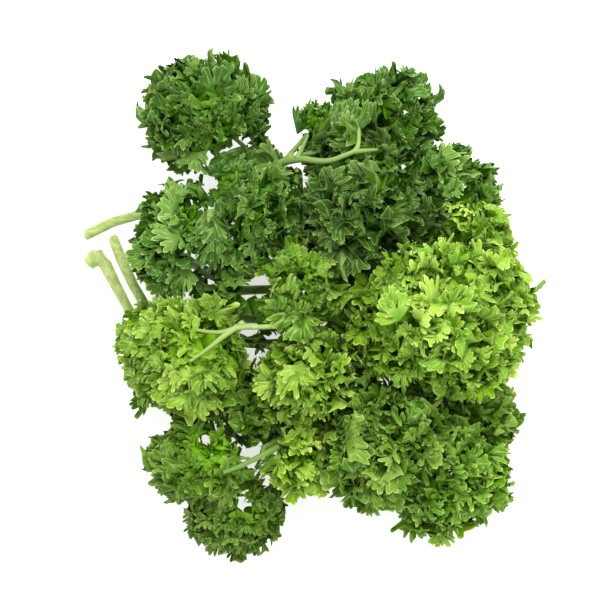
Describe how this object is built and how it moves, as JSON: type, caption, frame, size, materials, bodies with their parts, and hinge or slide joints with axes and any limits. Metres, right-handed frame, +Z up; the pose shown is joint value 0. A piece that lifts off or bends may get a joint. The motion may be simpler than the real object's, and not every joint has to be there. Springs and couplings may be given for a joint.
{
  "type": "curly parsley bunch",
  "caption": "Cut bunch of curly parsley lying on its side, with pale forked stalks and dense ruffled leaves.",
  "frame": {"origin": "middle of the bounding box's bottom face, on the surface that the bunch lies on", "axes": "+X from the cut ends of the stalks towards the crown of leaves, +Y across the bunch, +Z up"},
  "size_m": [0.1736, 0.1976, 0.0864],
  "materials": {
    "stalk": "fresh pale green stalk, fine lengthwise grooves, slight sheen",
    "leaf_dark": "fresh dark green leaf, satin, paler edges and veins",
    "leaf_middle": "fresh mid green leaf, satin, paler edges and veins",
    "leaf_light": "fresh light yellow-green leaf, satin, paler edges and veins"
  },
  "bodies": {
    "root": {"sprig_a_stalk": "stalk", "sprig_a_leaf_1": "leaf_dark", "sprig_a_leaf_2": "leaf_dark", "sprig_a_leaf_3": "leaf_dark", "sprig_a_leaf_4": "leaf_dark", "sprig_b_stalk": "stalk", "sprig_b_leaf_1": "leaf_middle", "sprig_b_leaf_2": "leaf_middle", "sprig_b_leaf_3": "leaf_middle", "sprig_b_leaf_4": "leaf_middle", "sprig_b_leaf_5": "leaf_middle", "sprig_c_stalk": "stalk", "sprig_c_leaf_1": "leaf_light", "sprig_c_leaf_2": "leaf_light", "sprig_c_leaf_3": "leaf_light", "sprig_c_leaf_4": "leaf_light", "sprig_d_stalk": "stalk", "sprig_d_leaf_1": "leaf_dark", "sprig_d_leaf_2": "leaf_dark", "sprig_d_leaf_3": "leaf_dark", "sprig_e_stalk": "stalk", "sprig_e_leaf_1": "leaf_dark", "sprig_e_leaf_2": "leaf_dark", "sprig_e_leaf_3": "leaf_dark", "sprig_f_stalk": "stalk", "sprig_f_leaf_1": "leaf_light", "sprig_f_leaf_2": "leaf_light", "sprig_f_leaf_3": "leaf_light", "sprig_f_leaf_4": "leaf_light", "sprig_g_stalk": "stalk", "sprig_g_leaf_1": "leaf_middle", "sprig_g_leaf_2": "leaf_middle", "sprig_g_leaf_3": "leaf_middle", "sprig_g_leaf_4": "leaf_middle"}
  },
  "joints": []
}
